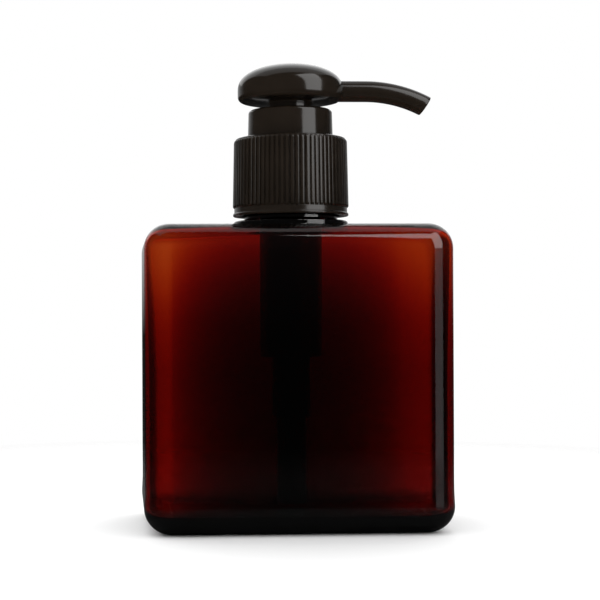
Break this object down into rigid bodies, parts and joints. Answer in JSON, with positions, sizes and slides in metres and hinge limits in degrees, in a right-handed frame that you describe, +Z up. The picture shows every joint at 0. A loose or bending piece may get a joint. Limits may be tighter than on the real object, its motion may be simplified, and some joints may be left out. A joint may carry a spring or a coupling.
{
  "type": "soap pump dispenser",
  "caption": "Square amber plastic bottle with a screw-on black lotion pump: ribbed closure, lock sleeve, domed head with a curved swivelling nozzle, spring return and dip tube.",
  "frame": {"origin": "on the floor under the pump's axis, at the centre of the bottle's footprint", "axes": "+Z up along the pump's axis, +X along the nozzle and the bottle's width, +Y towards the back"},
  "size_m": [0.0816, 0.05, 0.1252],
  "materials": {
    "amber_petg": "clear dark amber, glossy blow-moulded",
    "black_pp": "glossy moulded black-brown",
    "housing_pp": "satin moulded black",
    "tube_pe": "translucent dark extruded tube",
    "natural_pp": "natural moulded plastic",
    "soft_pe": "soft natural polyethylene",
    "stainless": "bright drawn wire and polished ball"
  },
  "bodies": {
    "bottle": {"bottle": "amber_petg"},
    "pump_body": {"pump_housing": "housing_pp", "lock_sleeve": "black_pp", "gasket": "soft_pe", "dip_tube": "tube_pe", "return_spring": "stainless"},
    "closure": {"closure": "black_pp"},
    "inlet_ball": {"inlet_ball": "stainless"},
    "plunger": {"stem": "black_pp", "valve_stem": "natural_pp"},
    "piston": {"piston": "soft_pe"},
    "head": {"actuator": "black_pp", "dome_cap": "black_pp"}
  },
  "joints": [
    {"name": "cap_rise", "type": "slide", "parent": "bottle", "child": "pump_body", "axis": [0, 0, 1], "range_m": [0, 0.00953]},
    {"name": "cap_turn", "type": "hinge", "parent": "pump_body", "child": "closure", "pos_m": [0, 0, 0.095], "axis": [0, 0, 1], "range_deg": [0, 810]},
    {"name": "pump_stroke", "type": "slide", "parent": "pump_body", "child": "plunger", "axis": [0, 0, 1], "range_m": [0, 0.015], "stiffness_N_per_m": 300, "springref_m": 0.03, "deforming": ["return_spring"]},
    {"name": "piston_float", "type": "slide", "parent": "plunger", "child": "piston", "axis": [0, 0, 1], "range_m": [-0.00115, 0]},
    {"name": "inlet_ball_lift", "type": "slide", "parent": "pump_body", "child": "inlet_ball", "axis": [0, 0, 1], "range_m": [0, 0.002]},
    {"name": "head_turn", "type": "hinge", "parent": "plunger", "child": "head", "pos_m": [0, 0, 0.11], "axis": [0, 0, 1], "continuous": true}
  ],
  "couplings": [
    {"joint": "cap_rise", "follows": "cap_turn", "m_per_rad": 0.00067376}
  ]
}
